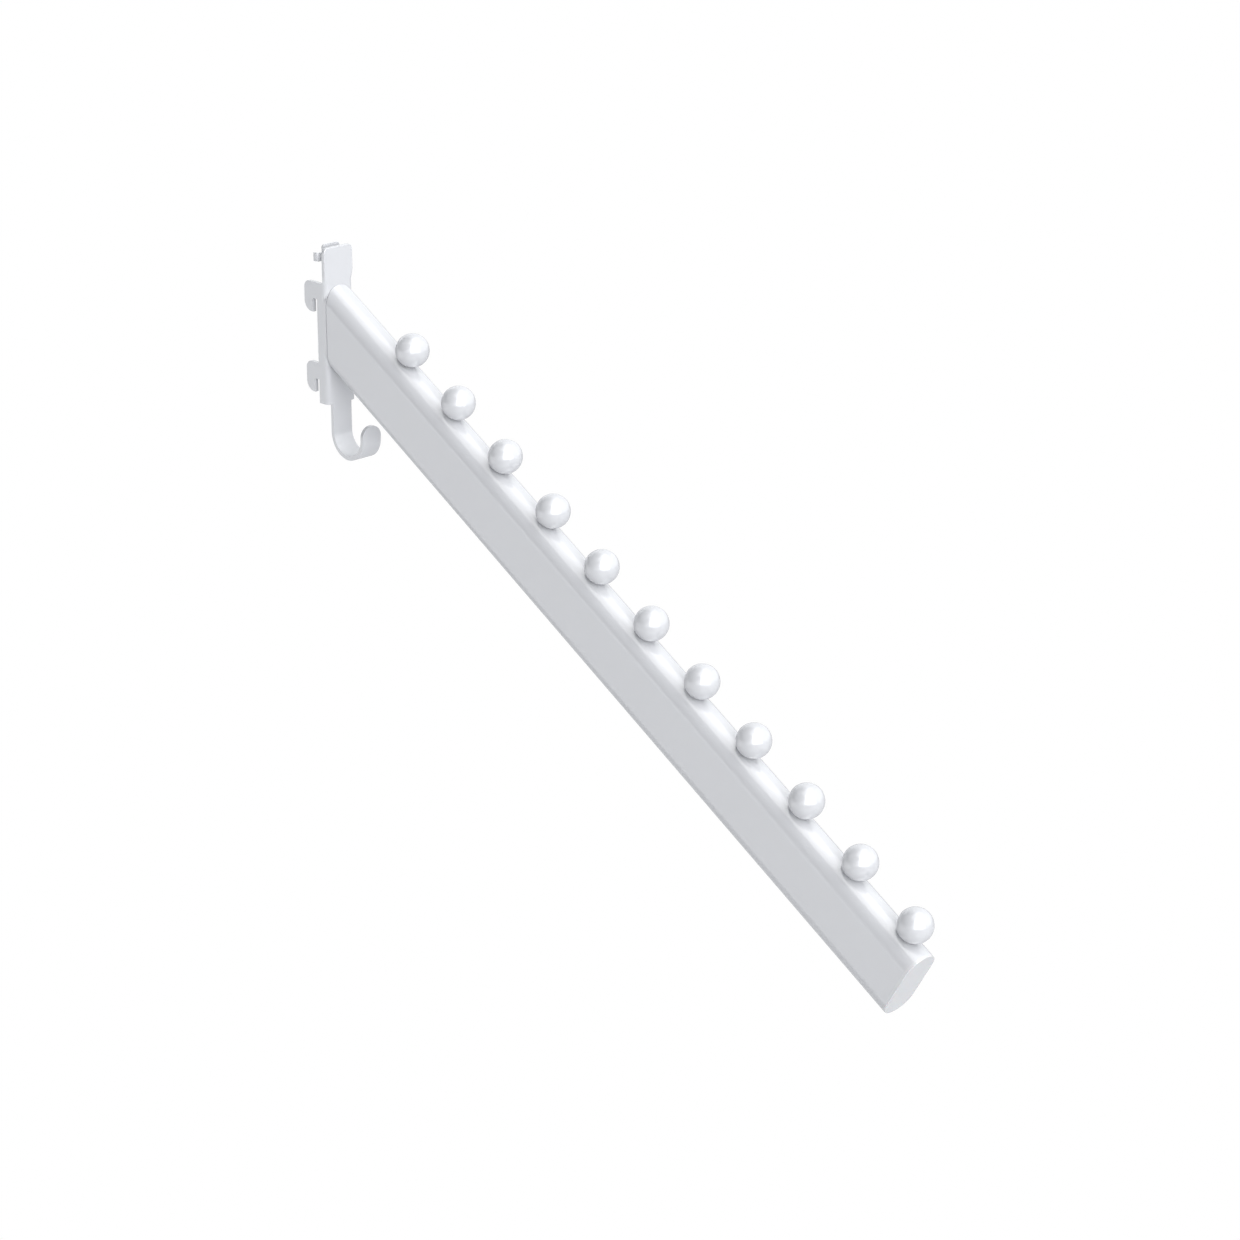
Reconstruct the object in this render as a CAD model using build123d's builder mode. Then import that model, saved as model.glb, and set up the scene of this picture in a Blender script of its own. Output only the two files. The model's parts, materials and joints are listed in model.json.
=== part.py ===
"""Sloping hanging arm with stop balls, hooked into a twin-slot shop upright.

A flat-oval tube runs down at a slope from a folded sheet bracket.  Steel balls along its top
keep the hangers apart.  The bracket has two hooks on each flange, a springy lock leaf behind
its tongue and a J-shaped accessory hook under the tube.

Row frame, millimetres: X = 0 is the face of the upright, +X points out along the arm,
Y = 0 is the plane of symmetry, +Z is up, and Z = 0 is where the tube's centre line meets
the front of the bracket.
"""
import os
from math import cos, radians, sin

from build123d import *

# --- Driving dimensions ------------------------------------------------------------------
# Bracket, folded from one sheet
SHEET = 1.5
BRACKET_WIDTH = 14.0
WEB_FRONT = 5.1            # front of the web, measured out from the upright
BEND_OUTSIDE = 2.0         # outside radius of the two folds
FLANGE_TOP = 18.0
FLANGE_BOTTOM = -30.0
TONGUE_START = 22.0        # the folds have faded out here, and the sheet is flat above
TONGUE_TOP = 32.0
TONGUE_CORNER = 2.0
TONGUE_EDGE = 0.3

# Hooks that enter the slots of the upright
HOOK_PITCH = 32.0
HOOK_HEIGHT = 12.0
HOOK_NECK = 6.6            # height of the neck that rests on the slot's lower end
HOOK_REACH = 7.5           # how far the hooks reach behind the upright's face
HOOK_GAP = 2.5             # gap for the wall of the upright
HOOK_TOP_RADIUS = 3.0
HOOK_TOE_RADIUS = 4.0
HOOK_THROAT_RADIUS = 0.6

# J-shaped accessory hook under the web
J_WIDTH = 9.0
J_INSIDE = 8.0             # inside radius of the bend
J_BOTTOM = -50.8
J_TIP_TOP = -35.8

# Lock leaf, a strip of spring steel behind the tongue
LEAF = 1.0
LEAF_WIDTH = 8.2
LEAF_TOP = 32.5
LEAF_BACK_GAP = 0.1        # from the upright's face to the back of the blade
LEAF_FOOT_GAP = 0.3        # from the foot to the back of the web
LEAF_FOOT = (-3.2, 3.0)    # lowest and highest point of the flat foot
LEAF_BLADE_START = 20.0    # where the blade is upright again
LEAF_BEND = 3.0
LEAF_CORNER = 1.2
EAR = (26.3, 29.6)         # lowest and highest point of the two ears
TOOTH_REACH = 1.3          # how far the teeth reach into the slots

# Rivets that hold the leaf's foot
RIVET_SHANK = 2.5
RIVET_HEAD = 4.4
RIVET_HEAD_HEIGHT = 0.95
RIVET_SPACING = 4.8
RIVET_CLEARANCE = 0.25     # round the shank and under the head, so that the leaf can flex

# Arm
SLOPE = 30.0               # degrees below the horizontal
TUBE_HEIGHT = 30.0
TUBE_WIDTH = 14.0
TUBE_WALL = 1.5
FIRST_BALL = 37.3          # along the centre line, from the bracket to the first ball
BALL_COUNT = 11
BALL_PITCH = 30.0
BALL_DIAMETER = 13.0
BALL_SUNK = 0.5            # depth of the weld seat under each ball
END_MARGIN = 10.0          # from the last ball to the end of the arm
BEHIND_WEB = 20.0          # how far back the tube is drawn before the mitre trims it

# End cap
CAP_RIM = 1.2
CAP_ROUND = 0.4
CAP_PLUG = 12.0
CAP_PLUG_WALL = 1.2
CAP_PLUG_GAP = 0.3
CAP_RIB = 1.0
CAP_RIB_PLACES = (-6.0, 0.0, 6.0)

# --- Sizes that follow -------------------------------------------------------------------
WEB_BACK = WEB_FRONT - SHEET
HALF_BRACKET = BRACKET_WIDTH / 2
BEND_INSIDE = BEND_OUTSIDE - SHEET

ARM_RUN = Vector(cos(radians(SLOPE)), 0, -sin(radians(SLOPE)))
ARM_UP = Vector(sin(radians(SLOPE)), 0, cos(radians(SLOPE)))
ARM_START = Vector(WEB_FRONT, 0, 0)
ARM_LENGTH = FIRST_BALL + (BALL_COUNT - 1) * BALL_PITCH + END_MARGIN
TUBE_END = ARM_LENGTH - CAP_RIM
BALL_RISE = TUBE_HEIGHT / 2 + BALL_DIAMETER / 2 - BALL_SUNK

PARTS = "parts"
os.makedirs(PARTS, exist_ok=True)


def across_arm(along):
    """Plane square to the arm at a distance along its centre line: X across, Y up the section."""
    return Plane(origin=ARM_START + ARM_RUN * along, x_dir=(0, -1, 0), z_dir=ARM_RUN)


def save(piece, label):
    """Name a finished piece and write it to its own STEP file."""
    piece.part.label = label
    export_step(piece.part, f"{PARTS}/{label}.step")


# --- Bracket -----------------------------------------------------------------------------
strip_middle = WEB_FRONT - SHEET / 2
j_radius = J_INSIDE + SHEET / 2
j_centre = J_BOTTOM + SHEET + J_INSIDE
tip_middle = strip_middle + 2 * j_radius
tip_round = J_WIDTH / 2

with BuildPart() as bracket:
    # The tongue above the flanges, the punched edge of its front softened
    with BuildSketch(Plane.YZ.offset(WEB_BACK)) as tongue:
        with Locations((0, (TONGUE_START + TONGUE_TOP) / 2)):
            Rectangle(BRACKET_WIDTH, TONGUE_TOP - TONGUE_START)
        fillet(tongue.vertices().group_by(Axis.Y)[-1], TONGUE_CORNER)
    extrude(amount=SHEET)
    fillet(bracket.faces().sort_by(Axis.X)[-1].edges().sort_by(Axis.Z)[1:], TONGUE_EDGE)

    # Above the flanges the two folds fade out into the flat tongue
    for level, fold_radius in ((FLANGE_TOP, BEND_OUTSIDE), (TONGUE_START, TONGUE_EDGE)):
        with BuildSketch(Plane.XY.offset(level)) as section:
            with Locations((WEB_FRONT / 2, 0)):
                Rectangle(WEB_FRONT, BRACKET_WIDTH)
            fillet(section.vertices().group_by(Axis.X)[-1], fold_radius)
    loft(ruled=True)
    with BuildSketch(Plane.XY.offset(FLANGE_TOP)):
        with Locations((WEB_BACK / 2, 0)):
            Rectangle(WEB_BACK, BRACKET_WIDTH)
    extrude(amount=TONGUE_START - FLANGE_TOP, mode=Mode.SUBTRACT)

    # The channel: web and two flanges
    with BuildSketch(Plane.XY.offset(FLANGE_BOTTOM)) as outside:
        with Locations((WEB_FRONT / 2, 0)):
            Rectangle(WEB_FRONT, BRACKET_WIDTH)
        fillet(outside.vertices().group_by(Axis.X)[-1], BEND_OUTSIDE)
    extrude(amount=FLANGE_TOP - FLANGE_BOTTOM)
    with BuildSketch(Plane.XY.offset(FLANGE_BOTTOM)) as inside:
        with Locations((WEB_BACK / 2, 0)):
            Rectangle(WEB_BACK, BRACKET_WIDTH - 2 * SHEET)
        fillet(inside.vertices().group_by(Axis.X)[-1], BEND_INSIDE)
    extrude(amount=FLANGE_TOP - FLANGE_BOTTOM, mode=Mode.SUBTRACT)

    # Two hooks on each flange
    for flange_face in (HALF_BRACKET, SHEET - HALF_BRACKET):
        for top in (FLANGE_TOP, FLANGE_TOP - HOOK_PITCH):
            with BuildSketch(Plane.XZ.offset(flange_face)) as hook:
                with BuildLine():
                    Polyline(
                        (0, top),
                        (-HOOK_REACH, top),
                        (-HOOK_REACH, top - HOOK_HEIGHT),
                        (-HOOK_GAP, top - HOOK_HEIGHT),
                        (-HOOK_GAP, top - HOOK_NECK),
                        (0, top - HOOK_NECK),
                        close=True,
                    )
                make_face()
                fillet(hook.vertices().group_by(Axis.X)[1].sort_by(Axis.Y)[-1], HOOK_THROAT_RADIUS)
                fillet(hook.vertices().group_by(Axis.X)[0].sort_by(Axis.Y)[-1], HOOK_TOP_RADIUS)
                fillet(hook.vertices().group_by(Axis.X)[0].sort_by(Axis.Y)[0], HOOK_TOE_RADIUS)
            extrude(amount=-SHEET)

    # The J-shaped hook: strip, bend and rounded tip, all one sheet with the web
    with BuildSketch(Plane.XZ):
        with BuildLine():
            drop = Line((strip_middle, FLANGE_BOTTOM), (strip_middle, j_centre))
            bend = RadiusArc(drop @ 1, (tip_middle, j_centre), -j_radius)
            Line(bend @ 1, (tip_middle, J_TIP_TOP - tip_round))
        trace(line_width=SHEET)
    extrude(amount=J_WIDTH / 2, both=True)
    with BuildSketch(Plane.YZ.offset(tip_middle - SHEET / 2)):
        with Locations((0, J_TIP_TOP - tip_round)):
            Circle(tip_round)
            Rectangle(J_WIDTH, tip_round, align=(Align.CENTER, Align.MAX), mode=Mode.SUBTRACT)
    extrude(amount=SHEET)

    # Holes for the rivets of the lock leaf
    with Locations(Plane.YZ.offset(WEB_FRONT)):
        with GridLocations(RIVET_SPACING, 0, 2, 1):
            Hole(RIVET_SHANK / 2, depth=SHEET)

save(bracket, "bracket")

# --- Lock leaf: foot on the web, blade close to the upright, two ears with teeth ---------
foot_middle = WEB_BACK - LEAF_FOOT_GAP - LEAF / 2
blade_middle = LEAF_BACK_GAP + LEAF / 2
blade_front = LEAF_BACK_GAP + LEAF
ear_height = EAR[1] - EAR[0]

with BuildPart() as lock_leaf:
    with BuildSketch(Plane.XZ):
        with BuildLine():
            FilletPolyline(
                (foot_middle, LEAF_FOOT[0]),
                (foot_middle, LEAF_FOOT[1]),
                (blade_middle, LEAF_BLADE_START),
                (blade_middle, LEAF_TOP),
                radius=LEAF_BEND,
            )
        trace(line_width=LEAF)
    extrude(amount=LEAF_WIDTH / 2, both=True)

    # Ears, folded back into teeth at their ends
    for side in (-1, 1):
        with BuildSketch(Plane.XY.offset(EAR[0])):
            with BuildLine():
                FilletPolyline(
                    (blade_middle, side * (LEAF_WIDTH / 2 - LEAF)),
                    (blade_middle, side * (HALF_BRACKET - LEAF / 2)),
                    (-TOOTH_REACH, side * (HALF_BRACKET - LEAF / 2)),
                    radius=LEAF * 0.6,
                )
            trace(line_width=LEAF)
        extrude(amount=ear_height)

    top_corners = lock_leaf.edges().filter_by(Axis.X).group_by(Axis.Z)[-1]
    fillet(top_corners, LEAF_CORNER)

    with Locations(Plane.YZ.offset(WEB_BACK)):
        with GridLocations(RIVET_SPACING, 0, 2, 1):
            Hole(RIVET_SHANK / 2 + RIVET_CLEARANCE, depth=WEB_BACK)

save(lock_leaf, "lock_leaf")

# --- Rivets: one head inside the tube, the other behind the foot of the leaf -------------
foot_back = foot_middle - LEAF / 2
rivet_back = foot_back - RIVET_CLEARANCE - RIVET_HEAD_HEIGHT

for side, name in ((-1, "left"), (1, "right")):
    with BuildPart() as rivet:
        with BuildSketch(Plane.YZ.offset(rivet_back)):
            with Locations((side * RIVET_SPACING / 2, 0)):
                Circle(RIVET_SHANK / 2)
        extrude(amount=WEB_FRONT + RIVET_HEAD_HEIGHT - rivet_back)
        for face_level in (rivet_back, WEB_FRONT):
            with BuildSketch(Plane.YZ.offset(face_level)):
                with Locations((side * RIVET_SPACING / 2, 0)):
                    Circle(RIVET_HEAD / 2)
            extrude(amount=RIVET_HEAD_HEIGHT)
        for outer_rim in (0, -1):
            fillet(rivet.edges().filter_by(GeomType.CIRCLE).group_by(Axis.X)[outer_rim], 0.4)
    save(rivet, f"leaf_rivet_{name}")

# --- Arm tube: mitred upright at the bracket, square at the free end ---------------------
with BuildPart() as arm_tube:
    with BuildSketch(across_arm(-BEHIND_WEB)):
        SlotOverall(TUBE_HEIGHT, TUBE_WIDTH, rotation=90)
        SlotOverall(TUBE_HEIGHT - 2 * TUBE_WALL, TUBE_WIDTH - 2 * TUBE_WALL, rotation=90,
                    mode=Mode.SUBTRACT)
    extrude(amount=BEHIND_WEB + TUBE_END)
    split(bisect_by=Plane.YZ.offset(WEB_FRONT), keep=Keep.TOP)

save(arm_tube, "arm_tube")

# --- Groove welds: fill the hollows between the bracket's folds and the tube -------------
for keep_side, name in ((Keep.TOP, "left"), (Keep.BOTTOM, "right")):
    with BuildPart() as groove_weld:
        with BuildSketch(across_arm(-BEHIND_WEB)):
            SlotOverall(TUBE_HEIGHT, TUBE_WIDTH, rotation=90)
        extrude(amount=2 * BEHIND_WEB)
        split(bisect_by=Plane.YZ.offset(WEB_FRONT), keep=Keep.BOTTOM)
        split(bisect_by=Plane.YZ.offset(WEB_FRONT - BEND_OUTSIDE), keep=Keep.TOP)
        split(bisect_by=Plane.XY.offset(FLANGE_TOP), keep=Keep.BOTTOM)
        split(bisect_by=Plane.XZ, keep=keep_side)
        with BuildSketch(Plane.XY.offset(FLANGE_BOTTOM)) as folds:
            with Locations((WEB_FRONT / 2, 0)):
                Rectangle(WEB_FRONT, BRACKET_WIDTH)
            fillet(folds.vertices().group_by(Axis.X)[-1], BEND_OUTSIDE)
        extrude(amount=FLANGE_TOP - FLANGE_BOTTOM, mode=Mode.SUBTRACT)
    save(groove_weld, f"groove_weld_{name}")

# --- End cap: rim with the tube's own outline, and a hollow ribbed plug ------------------
with BuildPart() as end_cap:
    with BuildSketch(across_arm(TUBE_END)):
        SlotOverall(TUBE_HEIGHT, TUBE_WIDTH, rotation=90)
    extrude(amount=CAP_RIM)
    fillet(end_cap.faces().sort_by(Axis(ARM_START, ARM_RUN))[-1].edges(), CAP_ROUND)
    plug_inset = 2 * (TUBE_WALL + CAP_PLUG_GAP)
    with BuildSketch(across_arm(TUBE_END)):
        SlotOverall(TUBE_HEIGHT - plug_inset, TUBE_WIDTH - plug_inset, rotation=90)
        SlotOverall(TUBE_HEIGHT - plug_inset - 2 * CAP_PLUG_WALL,
                    TUBE_WIDTH - plug_inset - 2 * CAP_PLUG_WALL, rotation=90, mode=Mode.SUBTRACT)
    extrude(amount=-CAP_PLUG)
    with BuildSketch(across_arm(TUBE_END)):
        for level in CAP_RIB_PLACES:
            for side in (-1, 1):
                rib_start = TUBE_WIDTH / 2 - TUBE_WALL - CAP_PLUG_GAP - CAP_PLUG_WALL / 2
                rib_end = TUBE_WIDTH / 2 - TUBE_WALL
                with Locations((side * (rib_start + rib_end) / 2, level)):
                    Rectangle(rib_end - rib_start, CAP_RIB)
    extrude(amount=-CAP_PLUG)

save(end_cap, "end_cap")

# --- Stop balls, each seated on the round top of the tube --------------------------------
tube_round = TUBE_WIDTH / 2
round_rise = TUBE_HEIGHT / 2 - tube_round

for number in range(1, BALL_COUNT + 1):
    foot = ARM_START + ARM_RUN * (FIRST_BALL + (number - 1) * BALL_PITCH)
    with BuildPart() as ball:
        with Locations(foot + ARM_UP * BALL_RISE):
            Sphere(BALL_DIAMETER / 2)
        with BuildSketch(Plane(origin=foot + ARM_UP * round_rise, x_dir=(0, 1, 0), z_dir=ARM_RUN)):
            Circle(tube_round)
        extrude(amount=BALL_DIAMETER, both=True, mode=Mode.SUBTRACT)
    save(ball, f"stop_ball_{number:02d}")
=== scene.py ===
"""Sloping hanging arm with stop balls: its finished pieces and its studio.

Laid out as an add-on and run as a script.  Each operator makes one piece, or one group of
like pieces, round the fixed frame.  Everything is in metres and in the part's own frame:
X = 0 is the face of the upright, +X points out along the arm, Y = 0 is the plane of symmetry
and +Z is up.
"""
import json
from math import acos, cos, pi, radians, sin, sqrt, tan

import bpy
from bpy.props import FloatProperty, FloatVectorProperty, IntProperty, PointerProperty
from bpy.types import Operator, Panel, PropertyGroup
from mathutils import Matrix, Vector


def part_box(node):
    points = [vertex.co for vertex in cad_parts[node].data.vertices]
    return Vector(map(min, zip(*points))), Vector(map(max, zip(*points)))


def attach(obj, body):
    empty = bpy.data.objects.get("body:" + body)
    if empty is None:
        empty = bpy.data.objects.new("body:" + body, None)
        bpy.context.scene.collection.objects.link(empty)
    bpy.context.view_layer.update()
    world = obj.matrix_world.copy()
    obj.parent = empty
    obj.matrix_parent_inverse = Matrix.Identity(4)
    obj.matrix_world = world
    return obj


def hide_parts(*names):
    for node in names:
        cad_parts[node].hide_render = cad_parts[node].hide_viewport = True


bl_info = {
    "name": "Sloping Hanging Arm",
    "version": (1, 0, 0),
    "blender": (4, 5, 0),
    "location": "View3D > Sidebar > Hanging Arm",
    "description": "Builds a sloping hanging arm with stop balls, and the studio it stands in",
    "category": "Add Mesh",
}

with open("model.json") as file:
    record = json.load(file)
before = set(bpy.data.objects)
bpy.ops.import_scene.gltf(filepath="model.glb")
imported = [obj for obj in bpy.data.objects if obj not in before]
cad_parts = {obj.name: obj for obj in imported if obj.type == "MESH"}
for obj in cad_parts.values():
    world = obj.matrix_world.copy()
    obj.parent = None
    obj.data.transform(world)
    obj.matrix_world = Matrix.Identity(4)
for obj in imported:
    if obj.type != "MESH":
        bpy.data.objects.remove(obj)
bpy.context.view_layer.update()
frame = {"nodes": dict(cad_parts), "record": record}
MERGE = 1e-6                     # points closer than this are one point
SAME_WAY = 0.99                  # cosine above which two directions count as the same
FLAT = radians(0.5)              # faces that meet at less than this are one face
EDGE_MARK = "rounded_edge"       # face attribute: 1 on the rounding of an outer edge

# --- Places taken from the frame ---------------------------------------------------------


def middle(node):
    """Centre of a node's box."""
    low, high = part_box(node)
    return (low + high) / 2


BALL_NODES = sorted(node for node in frame["nodes"] if node.startswith("stop_ball_"))
FIRST_BALL, LAST_BALL = middle(BALL_NODES[0]), middle(BALL_NODES[-1])
ARM_RUN = (LAST_BALL - FIRST_BALL).normalized()
ARM_UP = Vector((-ARM_RUN.z, 0, ARM_RUN.x))
SLOPE = ARM_RUN.angle(Vector((1, 0, 0)))
BALL_STEP = (LAST_BALL - FIRST_BALL) / (len(BALL_NODES) - 1)
WEB_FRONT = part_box("arm_tube")[0].x
ARM_START = Vector((WEB_FRONT, 0, 0))
BALL_RISE = (FIRST_BALL - ARM_START).dot(ARM_UP)


def reach(node):
    """How far a node reaches along the arm, measured on the centre line from the web."""
    return max((vertex.co - ARM_START).dot(ARM_RUN) for vertex in frame["nodes"][node].data.vertices)


TUBE_END = reach("arm_tube")
ARM_END = reach("end_cap")
TUBE_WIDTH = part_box("arm_tube")[1].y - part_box("arm_tube")[0].y


# --- Settings ----------------------------------------------------------------------------
def length(name, description, default):
    """A length property in metres."""
    return FloatProperty(name=name, description=description, default=default, unit="LENGTH",
                         precision=5)


def tint(name, description, default):
    """A colour property."""
    return FloatVectorProperty(name=name, description=description, default=default,
                               subtype="COLOR", min=0, max=1)


class SheetSizes(PropertyGroup):
    edge_round: length("Edge round", "Radius that the coat leaves on cut sheet edges", 0.0003)
    leaf_edge_round: length("Leaf edge round", "Radius on the edges of the lock leaf", 0.00016)
    edge_steps: IntProperty(name="Edge steps", description="Faces across a rounded edge", default=3)


class TubeSizes(PropertyGroup):
    height: length("Height", "Outside height of the flat oval tube", 0.030)
    wall: length("Wall", "Wall thickness of the tube", 0.0015)
    start_round: length("Start round", "Rounding at the end that is welded on", 0.0007)
    start_steps: IntProperty(name="Start steps", description="Faces across the start's rounding",
                             default=5)
    steps: IntProperty(name="Steps", description="Faces across each quarter round", default=20)


class CapSizes(PropertyGroup):
    rim_round: length("Rim round", "Rounding of the outer rim", 0.0002)
    clearance: length("Clearance", "Gap between the plug and the tube", 0.0003)
    plug: length("Plug", "How far the plug reaches into the tube", 0.012)
    plug_wall: length("Plug wall", "Wall thickness of the plug", 0.0012)
    rim_steps: IntProperty(name="Rim steps", description="Faces across the rim's round", default=4)


class BallSizes(PropertyGroup):
    diameter: length("Diameter", "Diameter of each stop ball", 0.013)
    fillet: length("Fillet", "Radius that coat and weld leave at a ball's foot", 0.00008)
    segments: IntProperty(name="Segments", description="Faces round a ball", default=96)
    fillet_segments: IntProperty(name="Fillet segments", description="Faces round the fillet",
                                 default=72)
    fillet_steps: IntProperty(name="Fillet steps", description="Faces across the fillet",
                              default=6)


class RivetSizes(PropertyGroup):
    shank: length("Shank", "Diameter of the shank", 0.0025)
    head: length("Head", "Diameter of a head", 0.0044)
    head_height: length("Head height", "Height of a domed head", 0.00095)
    crown_inset: length("Crown inset", "From a head's rim in to its flat crown", 0.000528)
    crown_round: length("Crown round", "Rounding between the rim and the crown", 0.000399)
    crown_steps: IntProperty(name="Crown steps", description="Faces across that rounding",
                             default=5)
    segments: IntProperty(name="Segments", description="Faces round a rivet", default=48)


class Finishes(PropertyGroup):
    coat: tint("Powder coat", "White powder coat", (0.55, 0.556, 0.577))
    coat_thin: tint("Thin coat", "Powder coat where it is thin on an edge", (0.46, 0.465, 0.48))
    cap: tint("Cap plastic", "White plastic of the end cap", (0.585, 0.589, 0.605))
    steel: tint("Rivet steel", "Zinc plate on the rivets", (0.70, 0.71, 0.73))
    patch_tint: FloatProperty(name="Patch tint", description="Shade of the faint patches",
                              default=0.994)
    peel_size: length("Peel size", "Spacing of the faint waves in the coat", 0.0016)
    peel_depth: length("Peel depth", "Depth of those waves", 0.0000035)


class Studio(PropertyGroup):
    azimuth: FloatProperty(name="Azimuth", description="Camera's turn round the part",
                           default=radians(46.46), subtype="ANGLE")
    elevation: FloatProperty(name="Elevation", description="Camera's height above the horizon",
                             default=radians(20.16), subtype="ANGLE")
    distance: length("Distance", "From the camera to the aim point", 1.3269)
    aim: FloatVectorProperty(name="Aim", description="Point at the middle of the picture",
                             default=(0.1271, 0.0326, -0.0958), subtype="XYZ", unit="LENGTH")
    lens: FloatProperty(name="Lens", description="Focal length", default=102.28, unit="CAMERA")
    floor_drop: length("Floor drop", "From the arm's bracket down to the floor", 1.4)
    floor_side: length("Floor side", "Side of the square floor", 60.0)
    far: length("Far", "From the arm to the upright scrim and the low card", 2.5)
    over: length("Over", "From the arm up to the scrim overhead", 3.0)
    card_width: length("Card width", "Width of the low reflector card", 2.2)
    card_height: length("Card height", "Height of the low reflector card", 1.6)
    ambient: FloatProperty(name="Ambient", description="Brightness of the studio all round",
                           default=1.12)
    shade: FloatProperty(name="Shade", description="Brightness of the dark screen",
                         default=0.09)
    shade_heading: FloatProperty(name="Shade heading", description="Where the dark screen stands",
                                 default=radians(-35), subtype="ANGLE")
    shade_rise: FloatProperty(name="Shade rise", description="Height of the dark screen's middle",
                              default=radians(40), subtype="ANGLE")
    shade_core: FloatProperty(name="Shade core", description="Where the screen starts to fade",
                              default=radians(32), subtype="ANGLE")
    shade_edge: FloatProperty(name="Shade edge", description="Where the screen has faded out",
                              default=radians(63), subtype="ANGLE")
    wall: FloatProperty(name="Wall", description="Brightness of the upright scrim", default=2.7)
    card: FloatProperty(name="Card", description="Brightness of the low reflector card",
                        default=0.48)
    wall_heading: FloatProperty(name="Wall heading", description="Where the upright scrim stands",
                                default=radians(67.5), subtype="ANGLE")
    card_heading: FloatProperty(name="Card heading", description="Where the low card stands",
                                default=radians(-47), subtype="ANGLE")
    card_rise: FloatProperty(name="Card rise", description="Height of the low card's middle",
                             default=radians(-20), subtype="ANGLE")
    ceiling: FloatProperty(name="Ceiling", description="Brightness of the scrim overhead",
                           default=1.02)


class HangingArm(PropertyGroup):
    sheet: PointerProperty(name="Sheet", description="Bracket and lock leaf", type=SheetSizes)
    tube: PointerProperty(name="Tube", description="Arm tube", type=TubeSizes)
    cap: PointerProperty(name="Cap", description="End cap", type=CapSizes)
    balls: PointerProperty(name="Balls", description="Stop balls", type=BallSizes)
    rivets: PointerProperty(name="Rivets", description="Rivets of the lock leaf", type=RivetSizes)
    finishes: PointerProperty(name="Finishes", description="Colours and textures", type=Finishes)
    studio: PointerProperty(name="Studio", description="Camera, floor and light", type=Studio)


# --- Modelling helpers -------------------------------------------------------------------
def start_clean():
    """Leave nothing selected."""
    bpy.ops.object.select_all(action="DESELECT")


def only(piece):
    """Make one object the only one selected, and active."""
    start_clean()
    piece.select_set(True)
    bpy.context.view_layer.objects.active = piece
    return piece


def settle(name):
    """Name the active object and put its place, turn and size into its mesh."""
    bpy.ops.object.transform_apply(location=True, rotation=True, scale=True)
    piece = bpy.context.active_object
    piece.name = name
    piece.data.name = name
    return piece


def edit(mode="FACE"):
    """Enter edit mode with nothing selected."""
    bpy.ops.object.mode_set(mode="EDIT")
    bpy.ops.mesh.select_mode(type=mode)
    bpy.ops.mesh.select_all(action="DESELECT")


def leave_edit():
    """Go back to object mode."""
    bpy.ops.object.mode_set(mode="OBJECT")


def select_faces(piece, wanted):
    """Select the faces whose (centre, normal) pass a test. Called in edit mode."""
    leave_edit()
    for face in piece.data.polygons:
        face.select = wanted(face.center, face.normal)
    bpy.ops.object.mode_set(mode="EDIT")


def select_edges(piece, wanted):
    """Select the edges whose two ends pass a test. Called in edit mode, in edge mode."""
    leave_edit()
    points = piece.data.vertices
    for edge in piece.data.edges:
        first, second = (points[index].co for index in edge.vertices)
        edge.select = wanted(first, second)
    bpy.ops.object.mode_set(mode="EDIT")


def apply_modifier(piece, kind, **settings):
    """Add a modifier with these settings and apply it."""
    only(piece)
    modifier = piece.modifiers.new(kind.title(), kind)
    for name, value in settings.items():
        setattr(modifier, name, value)
    bpy.ops.object.modifier_apply(modifier=modifier.name)


def smooth(piece, angle):
    """Smooth shading, kept crisp at edges sharper than the angle and flat on the large faces."""
    only(piece)
    bpy.ops.object.shade_smooth_by_angle(angle=radians(angle))
    apply_modifier(piece, "WEIGHTED_NORMAL", weight=100, keep_sharp=True)


def finish_piece(piece, body, nodes, material):
    """Give a piece its finish, put it on its body and let it stand for its CAD nodes."""
    piece.data.materials.clear()
    piece.data.materials.append(material)
    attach(piece, body)
    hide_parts(*nodes)


def body_of(node):
    """Name of the body that a node belongs to."""
    return next(body for body, members in frame["record"]["behaviour"]["bodies"].items()
                if node in members)


def on_arm(along, up=0.0):
    """Point in the plane of symmetry: along the centre line from the web, and up square to it."""
    return ARM_START + ARM_RUN * along + ARM_UP * up


def oval_bar(name, start, end, height, width, steps):
    """Flat oval bar along the arm: a box whose four long edges are rounded right over."""
    start_clean()
    bpy.ops.mesh.primitive_cube_add(size=1, location=on_arm((start + end) / 2),
                                    rotation=(0, SLOPE, 0), scale=(end - start, width, height))
    bar = settle(name)
    edit("EDGE")
    select_edges(bar, lambda a, b: abs((b - a).normalized().dot(ARM_RUN)) > SAME_WAY)
    bpy.ops.mesh.bevel(offset=width / 2, segments=steps, profile=0.5, affect="EDGES",
                       clamp_overlap=False)
    bpy.ops.mesh.select_all(action="SELECT")
    bpy.ops.mesh.remove_doubles(threshold=MERGE)
    leave_edit()
    return bar


def merged_copy(node, name):
    """Copy of a CAD node's mesh with its loose triangles joined into whole faces."""
    start_clean()
    source = frame["nodes"][node]
    piece = bpy.data.objects.new(name, source.data.copy())
    piece.data.name = name
    bpy.context.scene.collection.objects.link(piece)
    only(piece)
    bpy.ops.mesh.customdata_custom_splitnormals_clear()
    edit("VERT")
    bpy.ops.mesh.select_all(action="SELECT")
    bpy.ops.mesh.remove_doubles(threshold=MERGE)
    bpy.ops.mesh.dissolve_limited(angle_limit=FLAT)
    leave_edit()
    return piece


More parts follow.
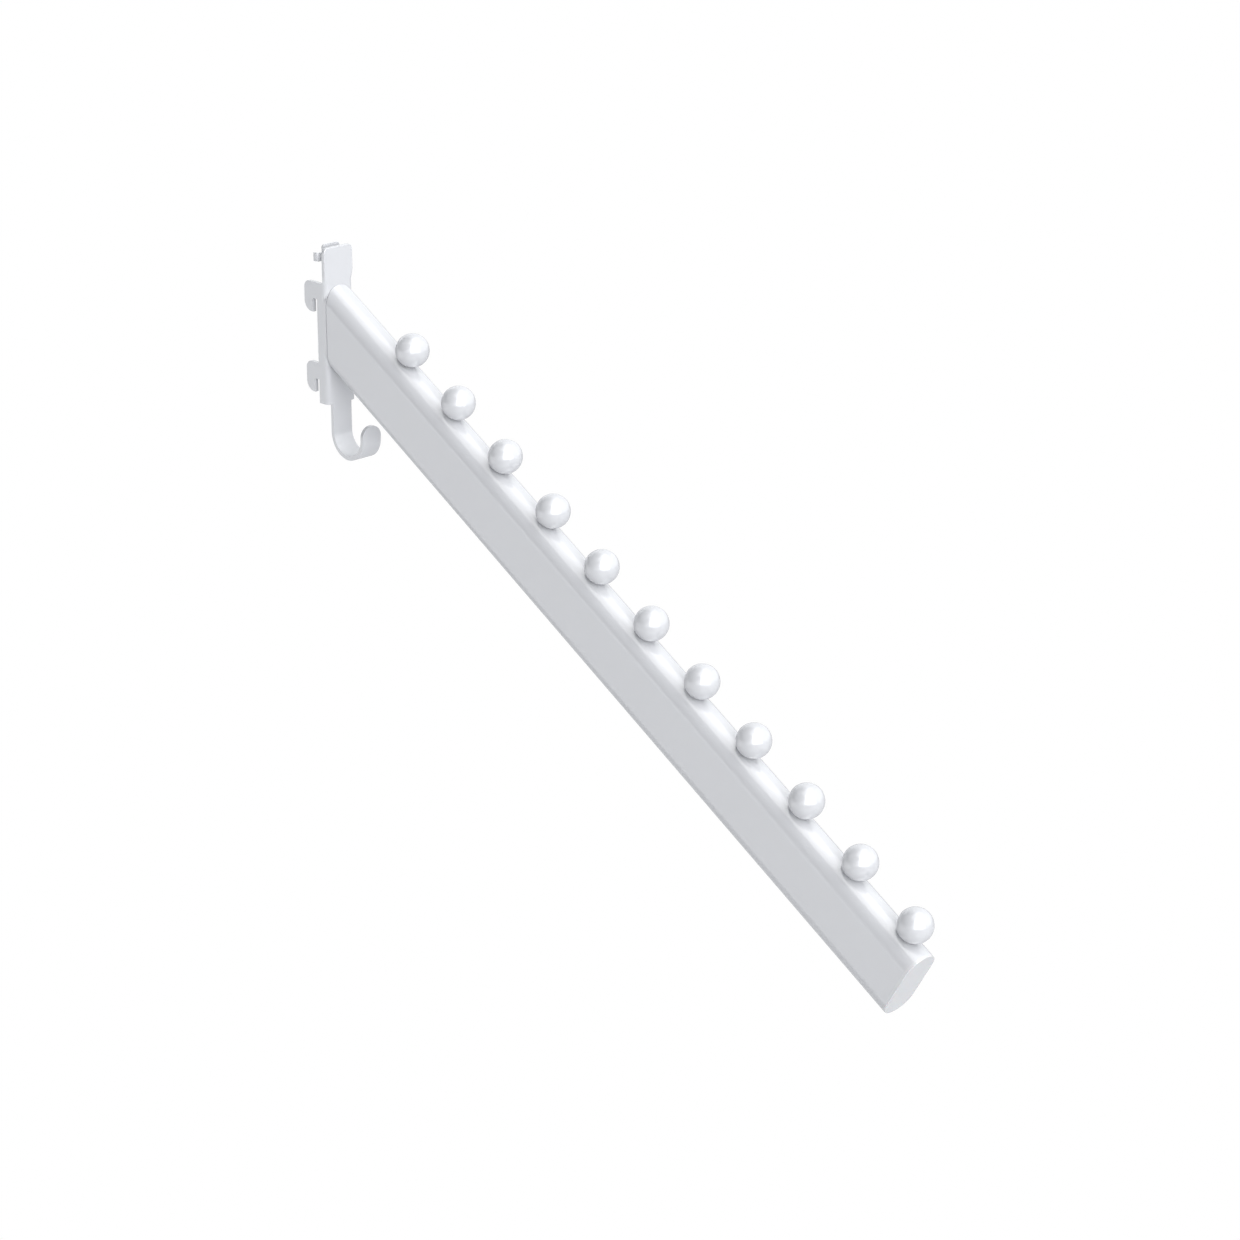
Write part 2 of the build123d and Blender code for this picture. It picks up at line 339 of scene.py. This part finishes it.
def soften(piece, radius, steps, sharp=40):
    """Round every edge that is sharper than an angle, and mark the faces of the roundings."""
    for _ in range(2):
        piece.data.materials.append(None)
    apply_modifier(piece, "BEVEL", width=radius, segments=steps, limit_method="ANGLE",
                   angle_limit=radians(sharp), loop_slide=False, material=1)
    mark = piece.data.attributes.new(EDGE_MARK, "FLOAT", "FACE")
    mark.data.foreach_set("value", [face.material_index for face in piece.data.polygons])


# --- Finishes ----------------------------------------------------------------------------
def new_group(name, inputs, outputs):
    """Empty shader group with float inputs {name: default} and float outputs."""
    group = bpy.data.node_groups.new(name, "ShaderNodeTree")
    for label, default in inputs.items():
        socket = group.interface.new_socket(label, in_out="INPUT", socket_type="NodeSocketFloat")
        socket.default_value = default
    for label in outputs:
        group.interface.new_socket(label, in_out="OUTPUT", socket_type="NodeSocketFloat")
    return group, group.nodes.new("NodeGroupInput"), group.nodes.new("NodeGroupOutput")


def add_node(tree, kind, links=None, **settings):
    """Add a node, set its properties, and link or set its inputs {socket: output or value}."""
    node = tree.nodes.new(kind)
    for name, value in settings.items():
        setattr(node, name, value)
    for socket, value in (links or {}).items():
        if isinstance(value, bpy.types.NodeSocket):
            tree.links.new(value, node.inputs[socket])
        else:
            node.inputs[socket].default_value = value
    return node


def spread(tree, value, low, high, to_low=0.0, to_high=1.0):
    """Map Range node's result."""
    return add_node(tree, "ShaderNodeMapRange", {
        "Value": value, "From Min": low, "From Max": high, "To Min": to_low, "To Max": to_high,
    }).outputs["Result"]


def noise(tree, point, scale, detail=2.0, roughness=0.5):
    """Noise texture's value."""
    return add_node(tree, "ShaderNodeTexNoise", {
        "Vector": point, "Scale": scale, "Detail": detail, "Roughness": roughness,
    }).outputs["Fac"]


def surface_group():
    """Faint waves, fine grain and slow patches that any moulded or coated surface has."""
    name = "Surface relief"
    if name in bpy.data.node_groups:
        return bpy.data.node_groups[name]
    group, given, out = new_group(name, {"Wave Scale": 600.0, "Grain Scale": 4000.0,
                                         "Grain Share": 0.2}, ("Height", "Patches"))
    point = add_node(group, "ShaderNodeTexCoord").outputs["Object"]
    waves = noise(group, point, given.outputs["Wave Scale"], detail=1.5)
    grain = noise(group, point, given.outputs["Grain Scale"], detail=2.0)
    height = add_node(group, "ShaderNodeMix", {"Factor": given.outputs["Grain Share"],
                                               "A": waves, "B": grain})
    group.links.new(height.outputs["Result"], out.inputs["Height"])
    group.links.new(noise(group, point, 45.0, detail=4.0, roughness=0.6), out.inputs["Patches"])
    return group


def edge_group():
    """Mask of the rounded edges, broken up so that no edge is evenly marked."""
    name = "Edge thinning"
    if name in bpy.data.node_groups:
        return bpy.data.node_groups[name]
    group, given, out = new_group(name, {"Break Scale": 260.0, "Amount": 0.5}, ("Mask",))
    edge = add_node(group, "ShaderNodeAttribute", attribute_name=EDGE_MARK).outputs["Fac"]
    point = add_node(group, "ShaderNodeTexCoord").outputs["Object"]
    broken = spread(group, noise(group, point, given.outputs["Break Scale"], detail=3.0),
                    0.35, 0.65)
    mask = add_node(group, "ShaderNodeMath", {0: edge, 1: broken}, operation="MULTIPLY")
    partly = add_node(group, "ShaderNodeMath", {0: mask.outputs["Value"],
                                                1: given.outputs["Amount"]}, operation="MULTIPLY")
    group.links.new(partly.outputs["Value"], out.inputs["Mask"])
    return group


def new_material(name):
    """Material with an empty tree, its Principled shader and its output."""
    material = bpy.data.materials.new(name)
    material.use_nodes = True
    tree = material.node_tree
    tree.nodes.clear()
    shader = tree.nodes.new("ShaderNodeBsdfPrincipled")
    output = tree.nodes.new("ShaderNodeOutputMaterial")
    tree.links.new(shader.outputs["BSDF"], output.inputs["Surface"])
    return material, tree, shader


def set_values(shader, values):
    """Set values that are the same all over the surface on the shader's own sockets."""
    for socket, value in values.items():
        shader.inputs[socket].default_value = value


def coated(name, colour, edge_colour, values, relief, depth, roughness):
    """A finish with relief, uneven gloss, faint tint patches and thinner colour on its edges."""
    if name in bpy.data.materials:
        return bpy.data.materials[name]
    patch_tint = bpy.context.scene.hanging_arm.finishes.patch_tint
    material, tree, shader = new_material(name)
    set_values(shader, values)
    surface = add_node(tree, "ShaderNodeGroup", node_tree=surface_group())
    set_values(surface, relief)
    edges = add_node(tree, "ShaderNodeGroup", node_tree=edge_group())
    patches = surface.outputs["Patches"]
    shade = add_node(tree, "ShaderNodeMix", {
        "Factor": spread(tree, patches, 0.3, 0.7), 6: (*colour, 1),
        7: (*(channel * patch_tint for channel in colour), 1)}, data_type="RGBA")
    worn = add_node(tree, "ShaderNodeMix", {
        "Factor": edges.outputs["Mask"], 6: shade.outputs[2], 7: (*edge_colour, 1)},
        data_type="RGBA")
    tree.links.new(worn.outputs[2], shader.inputs["Base Color"])
    gloss = spread(tree, patches, 0.3, 0.7, roughness[0], roughness[1])
    tree.links.new(gloss, shader.inputs["Roughness"])
    bump = add_node(tree, "ShaderNodeBump", {"Height": surface.outputs["Height"],
                                             "Distance": depth, "Strength": 1.0})
    tree.links.new(bump.outputs["Normal"], shader.inputs["Normal"])
    return material


def powder_coat():
    """White gloss powder coat on the bracket, tube, welds and balls."""
    look = bpy.context.scene.hanging_arm.finishes
    return coated("powder_coat_white", look.coat, look.coat_thin,
                  {"IOR": 1.5, "Coat Weight": 1.0, "Coat Roughness": 0.08, "Coat IOR": 2.0},
                  {"Wave Scale": 1 / look.peel_size, "Grain Share": 0.1},
                  look.peel_depth, (0.29, 0.31))


def leaf_coat():
    """The same coat, thinner and a little duller, on the spring leaf."""
    look = bpy.context.scene.hanging_arm.finishes
    return coated("powder_coat_leaf_white", look.coat, look.coat_thin,
                  {"IOR": 1.5, "Coat Weight": 0.8, "Coat Roughness": 0.14, "Coat IOR": 1.6},
                  {"Wave Scale": 1.3 / look.peel_size, "Grain Share": 0.2},
                  look.peel_depth, (0.28, 0.36))


def cap_plastic():
    """Glossy moulded white plastic with a trace of spark-eroded grain."""
    look = bpy.context.scene.hanging_arm.finishes
    return coated("cap_plastic_white", look.cap, look.cap,
                  {"IOR": 1.5, "Coat Weight": 0.9, "Coat Roughness": 0.12, "Coat IOR": 1.9,
                   "Subsurface Weight": 0.06, "Subsurface Scale": 0.001},
                  {"Wave Scale": 900.0, "Grain Scale": 7000.0, "Grain Share": 0.4},
                  look.peel_depth * 0.6, (0.34, 0.4))


def rivet_steel():
    """Bright zinc plate, faintly mottled, with brighter rubbed edges."""
    name = "rivet_zinc"
    if name in bpy.data.materials:
        return bpy.data.materials[name]
    look = bpy.context.scene.hanging_arm.finishes
    material, tree, shader = new_material(name)
    set_values(shader, {"Metallic": 1.0})
    surface = add_node(tree, "ShaderNodeGroup", node_tree=surface_group())
    set_values(surface, {"Wave Scale": 1500.0, "Grain Scale": 9000.0, "Grain Share": 0.5})
    edges = add_node(tree, "ShaderNodeGroup", node_tree=edge_group())
    patches = surface.outputs["Patches"]
    plate = add_node(tree, "ShaderNodeMix", {
        "Factor": spread(tree, surface.outputs["Height"], 0.35, 0.65), 6: (*look.steel, 1),
        7: (*(channel * 0.86 for channel in look.steel), 1)}, data_type="RGBA")
    rubbed = add_node(tree, "ShaderNodeMix", {
        "Factor": edges.outputs["Mask"], 6: plate.outputs[2],
        7: (*(channel * 1.2 for channel in look.steel), 1)}, data_type="RGBA")
    tree.links.new(rubbed.outputs[2], shader.inputs["Base Color"])
    tree.links.new(spread(tree, patches, 0.3, 0.7, 0.38, 0.52), shader.inputs["Roughness"])
    bump = add_node(tree, "ShaderNodeBump", {"Height": surface.outputs["Height"],
                                             "Distance": 0.000012, "Strength": 1.0})
    tree.links.new(bump.outputs["Normal"], shader.inputs["Normal"])
    return material


# --- Pieces ------------------------------------------------------------------------------
class FoldedBracket(Operator):
    """Bracket folded from one sheet, its cut edges rounded as the coat leaves them"""
    bl_idname = "hanging_arm.bracket"
    bl_label = "Bracket"

    def execute(self, context):
        sheet = context.scene.hanging_arm.sheet
        piece = merged_copy("bracket", "coated_bracket")
        soften(piece, sheet.edge_round, sheet.edge_steps)
        smooth(piece, 38)
        finish_piece(piece, body_of("bracket"), ["bracket"], powder_coat())
        return {"FINISHED"}


class LockLeaf(Operator):
    """Springy lock leaf behind the tongue, with softened edges"""
    bl_idname = "hanging_arm.lock_leaf"
    bl_label = "Lock Leaf"

    def execute(self, context):
        sheet = context.scene.hanging_arm.sheet
        piece = merged_copy("lock_leaf", "coated_lock_leaf")
        soften(piece, sheet.leaf_edge_round, sheet.edge_steps)
        smooth(piece, 38)
        finish_piece(piece, body_of("lock_leaf"), ["lock_leaf"], leaf_coat())
        return {"FINISHED"}


class LeafRivets(Operator):
    """The two rivets that hold the lock leaf's foot, with a domed head at each end"""
    bl_idname = "hanging_arm.leaf_rivets"
    bl_label = "Leaf Rivets"

    def execute(self, context):
        sizes = context.scene.hanging_arm.rivets
        for node in ("leaf_rivet_left", "leaf_rivet_right"):
            low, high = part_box(node)
            piece = self.model(node.replace("leaf_", "set_"), low, high, sizes)
            finish_piece(piece, body_of(node), [node], rivet_steel())
        return {"FINISHED"}

    def model(self, name, low, high, sizes):
        """A shank with a head drawn out of each end."""
        start_clean()
        centre = (low + high) / 2
        bpy.ops.mesh.primitive_cylinder_add(
            vertices=sizes.segments, radius=sizes.shank / 2, location=centre,
            depth=high.x - low.x - 2 * sizes.head_height, rotation=(0, pi / 2, 0))
        piece = settle(name)
        edit("FACE")
        for side in (-1, 1):
            select_faces(piece, lambda place, normal, side=side: normal.x * side > SAME_WAY)
            bpy.ops.mesh.extrude_region_move(TRANSFORM_OT_translate={"value": (0, 0, 0)})
            grow = sizes.head / sizes.shank
            bpy.ops.transform.resize(value=(grow, grow, grow), center_override=(
                centre.x + side * ((high.x - low.x) / 2 - sizes.head_height), centre.y, centre.z))
            bpy.ops.mesh.extrude_region_move(
                TRANSFORM_OT_translate={"value": (side * sizes.head_height, 0, 0)})
            bpy.ops.mesh.inset(thickness=sizes.crown_inset, depth=0)
        leave_edit()
        soften(piece, sizes.crown_round, sizes.crown_steps, sharp=60)
        smooth(piece, 40)
        return piece


class ArmTube(Operator):
    """Flat oval tube, hollow, mitred upright where it meets the bracket"""
    bl_idname = "hanging_arm.arm_tube"
    bl_label = "Arm Tube"

    def execute(self, context):
        sizes = context.scene.hanging_arm.tube
        behind = sizes.height
        tube = oval_bar("coated_tube", -behind, TUBE_END, sizes.height, TUBE_WIDTH, sizes.steps)
        edit("FACE")
        bpy.ops.mesh.select_all(action="SELECT")
        bpy.ops.mesh.bisect(plane_co=ARM_START, plane_no=(1, 0, 0), use_fill=True,
                            clear_inner=True)
        select_edges(tube, lambda a, b: max(abs(a.x - WEB_FRONT), abs(b.x - WEB_FRONT)) < MERGE)
        bpy.ops.mesh.bevel(offset=sizes.start_round, segments=sizes.start_steps,
                           affect="EDGES")
        self.open_ends(tube)
        leave_edit()
        apply_modifier(tube, "SOLIDIFY", thickness=sizes.wall, offset=-1, use_even_offset=True)
        smooth(tube, 30)
        finish_piece(tube, body_of("arm_tube"), ["arm_tube"], powder_coat())
        return {"FINISHED"}

    def open_ends(self, tube):
        """Take away the two flat ends, so that the wall can be made."""
        select_faces(tube, lambda place, normal: (normal.x < -SAME_WAY
                                                  or normal.dot(ARM_RUN) > SAME_WAY))
        bpy.ops.mesh.delete(type="FACE")


class GrooveWelds(Operator):
    """The two welds that fill the hollows between the bracket's folds and the tube"""
    bl_idname = "hanging_arm.groove_welds"
    bl_label = "Groove Welds"

    def execute(self, context):
        for side in ("left", "right"):
            node = f"groove_weld_{side}"
            piece = merged_copy(node, f"coated_weld_{side}")
            smooth(piece, 30)
            finish_piece(piece, body_of(node), [node], powder_coat())
        return {"FINISHED"}


class EndCap(Operator):
    """Plastic cap: a thin rim with the tube's outline, and a hollow plug inside the tube"""
    bl_idname = "hanging_arm.end_cap"
    bl_label = "End Cap"

    def execute(self, context):
        arm = context.scene.hanging_arm
        sizes, tube = arm.cap, arm.tube
        cap = oval_bar("moulded_cap", TUBE_END, ARM_END, tube.height, TUBE_WIDTH, tube.steps)
        shrink = tube.wall + sizes.clearance
        edit("FACE")
        select_faces(cap, lambda place, normal: normal.dot(ARM_RUN) < -SAME_WAY)
        bpy.ops.mesh.inset(thickness=shrink, depth=0)
        bpy.ops.mesh.extrude_region_move(
            TRANSFORM_OT_translate={"value": -ARM_RUN * sizes.plug})
        bpy.ops.mesh.inset(thickness=sizes.plug_wall, depth=0)
        bpy.ops.mesh.extrude_region_move(
            TRANSFORM_OT_translate={"value": ARM_RUN * sizes.plug})
        bpy.ops.mesh.select_mode(type="EDGE")
        select_edges(cap, lambda a, b: min((a - ARM_START).dot(ARM_RUN),
                                           (b - ARM_START).dot(ARM_RUN)) > ARM_END - MERGE)
        bpy.ops.mesh.bevel(offset=sizes.rim_round, segments=sizes.rim_steps, affect="EDGES")
        leave_edit()
        smooth(cap, 30)
        finish_piece(cap, body_of("end_cap"), ["end_cap"], cap_plastic())
        return {"FINISHED"}


class StopBalls(Operator):
    """Stop balls along the top of the tube, each with the small fillet at its foot"""
    bl_idname = "hanging_arm.stop_balls"
    bl_label = "Stop Balls"

    def execute(self, context):
        arm = context.scene.hanging_arm
        first = self.ball(arm.balls)
        foot = self.foot_fillet(arm.balls, arm.tube)
        only(first)
        foot.select_set(True)
        bpy.ops.object.join()
        smooth(first, 60)
        for number, node in enumerate(BALL_NODES):
            ball = first
            if number:
                only(first)
                bpy.ops.object.duplicate()
                bpy.ops.transform.translate(value=BALL_STEP * number)
                ball = settle(f"coated_ball_{number + 1:02d}")
            finish_piece(ball, body_of(node), [node], powder_coat())
        return {"FINISHED"}

    def ball(self, sizes):
        """A whole ball, its pole square to the tube so that its foot's rings are even."""
        start_clean()
        bpy.ops.mesh.primitive_uv_sphere_add(
            segments=sizes.segments, ring_count=sizes.segments // 2, radius=sizes.diameter / 2,
            location=FIRST_BALL, rotation=(0, SLOPE, 0))
        ball = settle("coated_ball_01")
        return ball

    def foot_fillet(self, sizes, tube):
        """Ring that a ball of the fillet's radius leaves as it rolls round between ball and tube."""
        ball_radius, tube_radius, roll = sizes.diameter / 2, TUBE_WIDTH / 2, sizes.fillet
        axis_drop = BALL_RISE - (tube.height / 2 - tube_radius)
        across_limit = self.widest(ball_radius + roll, tube_radius + roll, axis_drop)
        around, steps = sizes.fillet_segments, sizes.fillet_steps
        start_clean()
        bpy.ops.mesh.primitive_circle_add(vertices=around, radius=ball_radius,
                                          location=FIRST_BALL, rotation=(0, SLOPE, 0))
        ring = settle("foot_fillet")
        edit("VERT")
        bpy.ops.mesh.select_all(action="SELECT")
        for _ in range(steps):
            bpy.ops.mesh.extrude_edges_move(TRANSFORM_OT_translate={"value": (0, 0, 0)})
        leave_edit()
        axis = FIRST_BALL - ARM_UP * axis_drop
        side_way = Vector((0, 1, 0))
        for number, vertex in enumerate(ring.data.vertices):
            layer, place = divmod(number, around)
            turn = 2 * pi * place / around
            lean = across_limit * sin(turn)
            centre = axis + (side_way * sin(lean) + ARM_UP * cos(lean)) * (tube_radius + roll)
            rest = (ball_radius + roll) ** 2 - (centre - FIRST_BALL).length_squared
            centre += ARM_RUN * sqrt(max(rest, 0)) * (1 if cos(turn) >= 0 else -1)
            on_line = axis + ARM_RUN * (centre - axis).dot(ARM_RUN)
            to_tube = (on_line - centre).normalized()
            to_ball = (FIRST_BALL - centre).normalized()
            vertex.co = centre + to_tube.slerp(to_ball, layer / steps) * roll
        edit("VERT")
        bpy.ops.mesh.select_all(action="SELECT")
        bpy.ops.mesh.normals_make_consistent(inside=False)
        leave_edit()
        return ring

    def widest(self, ball_reach, tube_reach, drop):
        """Angle about the tube's round at which the rolling ball is beside the stop ball."""
        return acos((tube_reach ** 2 + drop ** 2 - ball_reach ** 2) / (2 * tube_reach * drop))


# --- Studio ------------------------------------------------------------------------------
class PlainStudio(Operator):
    """Pale floor, soft light and the camera"""
    bl_idname = "hanging_arm.studio"
    bl_label = "Studio"

    def execute(self, context):
        studio = context.scene.hanging_arm.studio
        context.scene.view_settings.view_transform = "Standard"
        self.world(context.scene, studio)
        self.floor(studio)
        self.scrims(context.scene, studio)
        self.camera(context.scene, studio)
        return {"FINISHED"}

    def lit_and_seen(self, tree, lit, seen, output):
        """Join two shaders: one lights the part, the other is what the camera sees."""
        ray = add_node(tree, "ShaderNodeLightPath").outputs["Is Camera Ray"]
        mixed = add_node(tree, "ShaderNodeMixShader", {0: ray, 1: lit, 2: seen})
        tree.links.new(mixed.outputs["Shader"], output.inputs["Surface"])

    def world(self, scene, studio):
        """Even light all round, but for a soft dark screen that gives the gloss its depth."""
        world = bpy.data.worlds.new("Studio air")
        world.use_nodes = True
        tree = world.node_tree
        tree.nodes.clear()
        screen = self.towards(studio.shade_heading, studio.shade_rise)
        nearness = add_node(tree, "ShaderNodeVectorMath", {
            0: add_node(tree, "ShaderNodeTexCoord").outputs["Generated"], 1: screen},
            operation="DOT_PRODUCT").outputs["Value"]
        strength = add_node(tree, "ShaderNodeMapRange", {
            "Value": nearness, "From Min": cos(studio.shade_edge),
            "From Max": cos(studio.shade_core), "To Min": studio.ambient,
            "To Max": studio.shade}, interpolation_type="SMOOTHSTEP")
        air = add_node(tree, "ShaderNodeBackground", {"Color": (0.96, 0.98, 1, 1),
                                                      "Strength": strength.outputs["Result"]})
        white = add_node(tree, "ShaderNodeBackground", {"Color": (1, 1, 1, 1)})
        output = tree.nodes.new("ShaderNodeOutputWorld")
        self.lit_and_seen(tree, air.outputs[0], white.outputs[0], output)
        scene.world = world

    def floor(self, studio):
        start_clean()
        bpy.ops.mesh.primitive_plane_add(size=studio.floor_side,
                                         location=(0, 0, -studio.floor_drop))
        floor = settle("floor")
        material = bpy.data.materials.new("pale_floor")
        material.use_nodes = True
        tree = material.node_tree
        tree.nodes.clear()
        matt = add_node(tree, "ShaderNodeBsdfDiffuse", {"Color": (0.7, 0.7, 0.71, 1)})
        white = add_node(tree, "ShaderNodeEmission", {"Color": (1, 1, 1, 1)})
        output = tree.nodes.new("ShaderNodeOutputMaterial")
        self.lit_and_seen(tree, matt.outputs[0], white.outputs[0], output)
        floor.data.materials.append(material)

    def scrims(self, scene, studio):
        """An upright scrim to the arm's right, one overhead, and a low card to its left."""
        far, over = studio.far, studio.over
        side, low, high = (far * tan(radians(angle)) for angle in (30, -4, 60))
        away = self.towards(studio.wall_heading, 0)
        self.scrim(scene, "wall_scrim", away * far + Vector((0, 0, (low + high) / 2)), -away,
                   (2 * side, high - low), studio.wall)
        left, right, near, back = (over * tan(radians(angle)) for angle in (-4, 42, -35, 31))
        self.scrim(scene, "ceiling_scrim", Vector(((left + right) / 2, (near + back) / 2, over)),
                   Vector((0, 0, -1)), (right - left, back - near), studio.ceiling)
        away = self.towards(studio.card_heading, studio.card_rise)
        self.scrim(scene, "low_card", away * far, -away, (studio.card_width, studio.card_height),
                   studio.card)

    def towards(self, heading, rise):
        """Direction at a heading, counted from -Y towards +X, and a height above the horizon."""
        return Vector((sin(heading) * cos(rise), -cos(heading) * cos(rise), sin(rise)))

    def scrim(self, scene, name, place, facing, size, brightness):
        """Evenly lit flat rectangle that lights the part and shows in its gloss."""
        light = bpy.data.lights.new(name, "AREA")
        light.shape = "RECTANGLE"
        light.size, light.size_y = size
        light.energy = brightness * pi * size[0] * size[1]
        lamp = bpy.data.objects.new(name, light)
        scene.collection.objects.link(lamp)
        lamp.location = place
        lamp.rotation_mode = "QUATERNION"
        lamp.rotation_quaternion = facing.to_track_quat("-Z", "Y")
        lamp.visible_camera = False

    def camera(self, scene, studio):
        data = bpy.data.cameras.new("camera")
        data.lens = studio.lens
        data.clip_end = 100
        camera = bpy.data.objects.new("camera", data)
        scene.collection.objects.link(camera)
        back = self.towards(studio.azimuth, studio.elevation)
        camera.location = Vector(studio.aim) + back * studio.distance
        camera.rotation_mode = "QUATERNION"
        camera.rotation_quaternion = (-back).to_track_quat("-Z", "Y")
        scene.camera = camera


# --- Add-on ------------------------------------------------------------------------------
PIECES = (FoldedBracket, LockLeaf, LeafRivets, ArmTube, GrooveWelds, EndCap, StopBalls)
SETTINGS = (SheetSizes, TubeSizes, CapSizes, BallSizes, RivetSizes, Finishes, Studio, HangingArm)


class HangingArmPanel(Panel):
    """Lists the operators that build the arm"""
    bl_idname = "VIEW3D_PT_hanging_arm"
    bl_label = "Hanging Arm"
    bl_space_type = "VIEW_3D"
    bl_region_type = "UI"
    bl_category = "Hanging Arm"

    def draw(self, context):
        for operator in (*PIECES, PlainStudio):
            self.layout.operator(operator.bl_idname)


CLASSES = (*SETTINGS, *PIECES, PlainStudio, HangingArmPanel)


def register():
    for item in CLASSES:
        bpy.utils.register_class(item)
    bpy.types.Scene.hanging_arm = PointerProperty(type=HangingArm)


def unregister():
    del bpy.types.Scene.hanging_arm
    for item in reversed(CLASSES):
        bpy.utils.unregister_class(item)


def main():
    register()
    for operator in (*PIECES, PlainStudio):
        group, name = operator.bl_idname.split(".")
        getattr(getattr(bpy.ops, group), name)()


if __name__ == "__main__":
    main()
